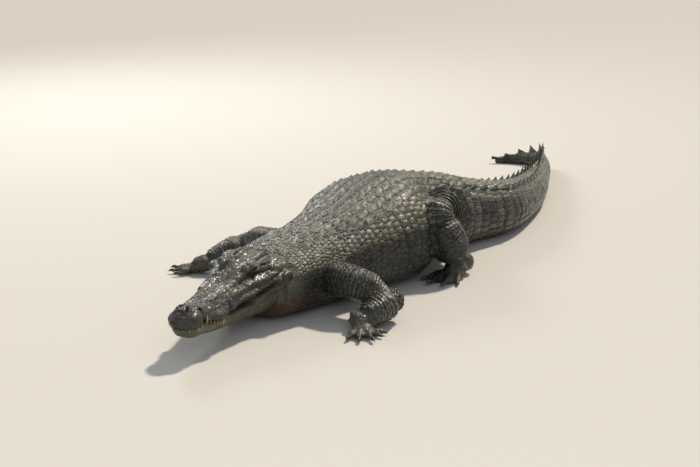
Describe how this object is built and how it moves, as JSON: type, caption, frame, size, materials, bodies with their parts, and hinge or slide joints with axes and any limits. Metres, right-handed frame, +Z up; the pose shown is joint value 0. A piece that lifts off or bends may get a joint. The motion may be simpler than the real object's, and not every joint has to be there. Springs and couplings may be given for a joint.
{
  "type": "crocodile",
  "caption": "Life-size still crocodile lying on its belly, head slightly raised, legs spread and the tail curled round behind it.",
  "frame": {"origin": "middle of the whole animal's box, on the floor that the belly lies on", "axes": "+Z up, the trunk lies along X with the snout towards -X and the animal's left side towards -Y"},
  "size_m": [2.1104, 0.7436, 0.2487],
  "materials": {
    "hide": "wet scaly hide, dark olive grey",
    "jaw_hide": "wet scaly hide of the jaws and throat, paler olive",
    "horn": "dull horn of the claws",
    "tooth": "stained amber tooth enamel",
    "eyeball": "wet glossy dark brown eye"
  },
  "bodies": {
    "root": {"eye_right": "eyeball", "eye_left": "eyeball", "head_upper": "hide", "lower_jaw": "jaw_hide", "upper_arm_left": "hide", "forearm_left": "hide", "thigh_left": "hide", "shank_left": "hide", "hand_left_claw_1": "horn", "hand_left_claw_2": "horn", "hand_left_claw_3": "horn", "hand_left": "hide", "foot_left_claw_1": "horn", "foot_left_claw_2": "horn", "foot_left_claw_3": "horn", "foot_left": "hide", "upper_arm_right": "hide", "forearm_right": "hide", "thigh_right": "hide", "shank_right": "hide", "hand_right_claw_1": "horn", "hand_right_claw_2": "horn", "hand_right_claw_3": "horn", "hand_right": "hide", "foot_right_claw_1": "horn", "foot_right_claw_2": "horn", "foot_right_claw_3": "horn", "foot_right": "hide", "neck": "hide", "chest": "hide", "belly": "hide", "hips": "hide", "tail_1": "hide", "tail_2": "hide", "tail_3": "hide", "tail_4": "hide", "tail_5": "hide", "tail_6": "hide"}
  },
  "joints": []
}
